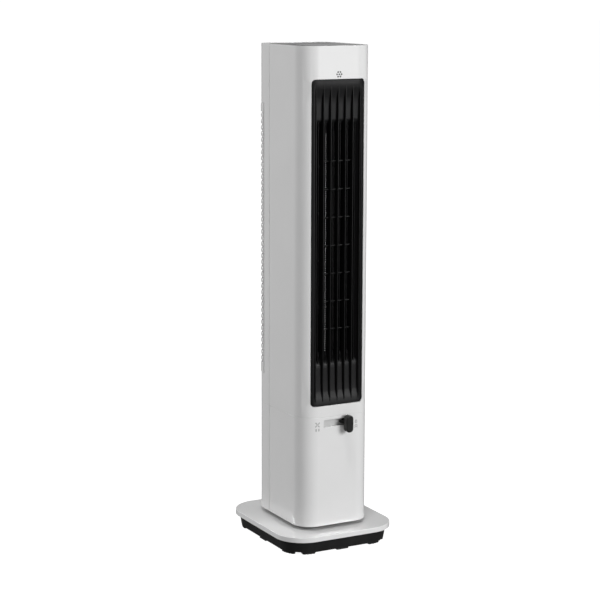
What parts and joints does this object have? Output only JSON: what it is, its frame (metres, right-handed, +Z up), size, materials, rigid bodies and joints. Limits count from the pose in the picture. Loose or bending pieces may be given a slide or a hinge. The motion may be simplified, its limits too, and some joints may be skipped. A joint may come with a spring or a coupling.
{
  "type": "evaporative cooler",
  "caption": "Tall white tower evaporative air cooler that turns on a square-round foot, with a black front outlet grille, a louvred rear intake, a slide-out water tank and a front mode slide.",
  "frame": {"origin": "centre of the foot on the floor, which is the middle of the bottom of the whole object's box", "axes": "+Z up along the tower; -Y towards the front, where the outlet grille and the mode slide are; +X to the right for a person standing in front and facing the tower"},
  "size_m": [0.266, 0.3, 1.048],
  "materials": {
    "shell_white": "glossy moulded plastic",
    "plate_white": "glossy moulded plastic with softened edges",
    "tray_black": "fine-grained moulded plastic",
    "grille_black": "satin moulded plastic",
    "pad_rubber": "matte",
    "ballast_steel": "painted plate",
    "screw_steel": "zinc plated",
    "gear_acetal": "natural acetal",
    "frame_black": "moulded plastic",
    "duct_grey": "moulded plastic",
    "bay_grey": "moulded plastic",
    "top_grey": "glossy dark grey plastic",
    "panel_glass": "polished touch panel",
    "board_green": "solder mask",
    "fan_black": "moulded plastic",
    "motor_steel": "pressed steel can",
    "pad_paper": "corrugated wet paper",
    "pad_frame_grey": "moulded plastic",
    "tank_clear": "frosted tank plastic",
    "hose_clear": "soft clear hose",
    "knob_black": "satin moulded plastic",
    "loom_black": "sleeved wires",
    "mesh_grey": "fine filter mesh"
  },
  "bodies": {
    "base": {"base_tray": "tray_black", "base_plate": "plate_white", "rubber_feet": "pad_rubber", "ballast_plate": "ballast_steel", "swivel_base": "frame_black", "ring_gear": "gear_acetal", "glide_ring": "gear_acetal", "spindle_nut": "screw_steel", "base_screws": "screw_steel", "swivel_screws": "screw_steel", "cord_gland": "pad_rubber"},
    "tower": {"chassis_base": "frame_black", "tank_bay": "bay_grey", "deck_plate": "frame_black", "lower_front_cover": "shell_white", "front_shell": "shell_white", "rear_shell": "shell_white", "top_cover": "top_grey", "control_glass": "panel_glass", "control_board": "board_green", "beeper": "frame_black", "outlet_grille": "grille_black", "fan_scroll": "duct_grey", "fan_tongue": "duct_grey", "fan_base_plate": "duct_grey", "fan_top_plate": "duct_grey", "top_bush": "pad_rubber", "motor_mount": "frame_black", "motor_housing": "motor_steel", "pad_frame": "pad_frame_grey", "cooling_pad": "pad_paper", "water_trough": "pad_frame_grey", "drip_tray": "bay_grey", "riser_hose": "hose_clear", "drain_pipe": "bay_grey", "swing_motor": "motor_steel", "slot_bezel": "shell_white", "wiring_loom": "loom_black", "shell_screws": "screw_steel"},
    "fan": {"impeller": "fan_black", "motor_rotor": "motor_steel"},
    "mode_slide": {"lever_knob": "knob_black", "lever_slide": "knob_black", "shutter_plate": "bay_grey"},
    "pinion": {"swing_pinion": "gear_acetal"},
    "tank": {"water_tank": "tank_clear", "tank_cover": "shell_white", "pump_housing": "frame_black", "pump_pipe": "hose_clear"},
    "pump_rotor": {"pump_rotor": "gear_acetal"},
    "intake_cover": {"intake_grille": "shell_white", "dust_filter": "mesh_grey"}
  },
  "joints": [
    {"name": "tower_swing", "type": "hinge", "parent": "base", "child": "tower", "pos_m": [0, 0, 0.063], "axis": [0, 0, 1], "range_deg": [-35, 35]},
    {"name": "pinion_spin", "type": "hinge", "parent": "tower", "child": "pinion", "pos_m": [0.05625, 0, 0.053], "axis": [0, 0, 1], "range_deg": [-142, 142]},
    {"name": "fan_spin", "type": "hinge", "parent": "tower", "child": "fan", "pos_m": [0, -0.018, 0.653], "axis": [0, 0, 1], "continuous": true},
    {"name": "mode_travel", "type": "slide", "parent": "tower", "child": "mode_slide", "axis": [1, 0, 0], "range_m": [-0.036, 0]},
    {"name": "tank_pull", "type": "slide", "parent": "tower", "child": "tank", "axis": [0, 1, 0], "range_m": [0, 0.2]},
    {"name": "pump_spin", "type": "hinge", "parent": "tank", "child": "pump_rotor", "pos_m": [0.03, 0.04, 0.103], "axis": [0, 0, 1], "continuous": true},
    {"name": "intake_pull", "type": "slide", "parent": "tower", "child": "intake_cover", "axis": [0, 1, 0], "range_m": [0, 0.05]}
  ],
  "couplings": [
    {"joint": "pinion_spin", "follows": "tower_swing", "ratio": 4}
  ]
}
